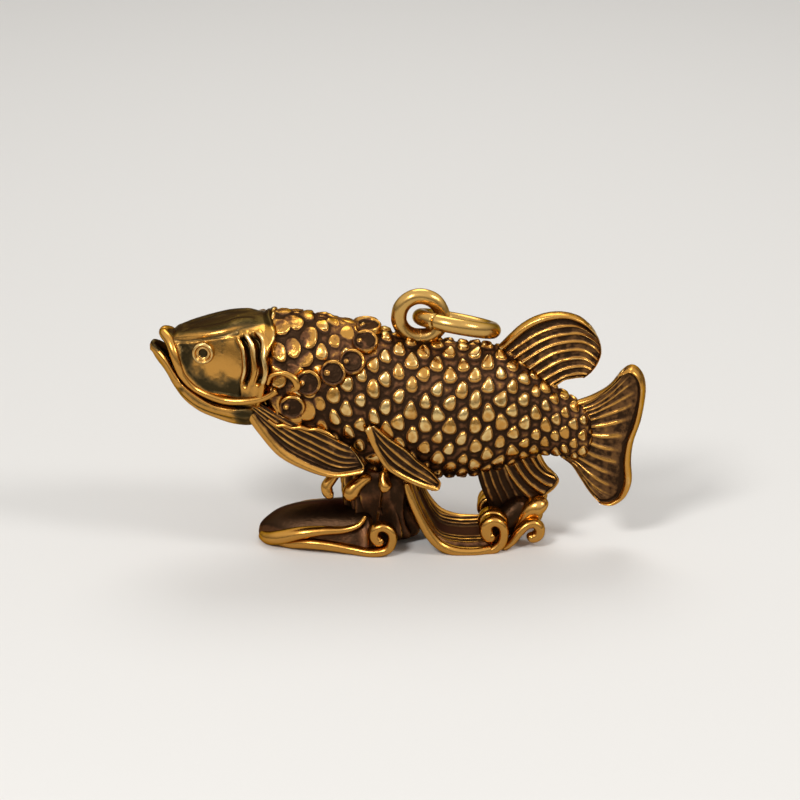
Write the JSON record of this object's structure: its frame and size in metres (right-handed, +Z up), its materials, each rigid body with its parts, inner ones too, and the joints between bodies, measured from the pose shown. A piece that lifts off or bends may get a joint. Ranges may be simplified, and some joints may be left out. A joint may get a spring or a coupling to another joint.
{
  "type": "fish figurine",
  "caption": "Antique brass arowana fish over curling waves, with a string of coins on its back, a soldered hanging loop and a loose jump ring.",
  "frame": {"origin": "centre of the overall box, at the level of the ground that the wave base stands on", "axes": "+X from the fish's head to its tail, +Y to the fish's right side, +Z up"},
  "size_m": [0.055, 0.0136, 0.0297],
  "materials": {
    "antique_brass": "cast, darkened with patina and polished on the high spots",
    "brass_wire": "drawn wire, polished, slightly aged"
  },
  "bodies": {
    "fish": {"anal_fin": "antique_brass", "barbel_left": "antique_brass", "barbel_right": "antique_brass", "coin_string": "antique_brass", "dorsal_fin": "antique_brass", "eye_left": "antique_brass", "eye_right": "antique_brass", "front_scroll_left": "antique_brass", "front_scroll_right": "antique_brass", "front_wave": "antique_brass", "gill_cover_left": "antique_brass", "gill_cover_right": "antique_brass", "hanging_loop": "brass_wire", "head": "antique_brass", "lower_jaw": "antique_brass", "pectoral_fin_left": "antique_brass", "pectoral_fin_right": "antique_brass", "pelvic_fin_left": "antique_brass", "pelvic_fin_right": "antique_brass", "rear_crest": "antique_brass", "rear_scroll_left": "antique_brass", "rear_scroll_right": "antique_brass", "rear_wave": "antique_brass", "spray_drops": "antique_brass", "tail_fin": "antique_brass", "trunk": "antique_brass", "wave_column": "antique_brass"},
    "jump_ring": {"jump_ring": "brass_wire"}
  },
  "joints": [
    {"name": "ring_swing", "type": "hinge", "parent": "fish", "child": "jump_ring", "pos_m": [0.00261, 0, 0.0264], "axis": [0, -1, 0], "range_deg": [0, 184]}
  ]
}
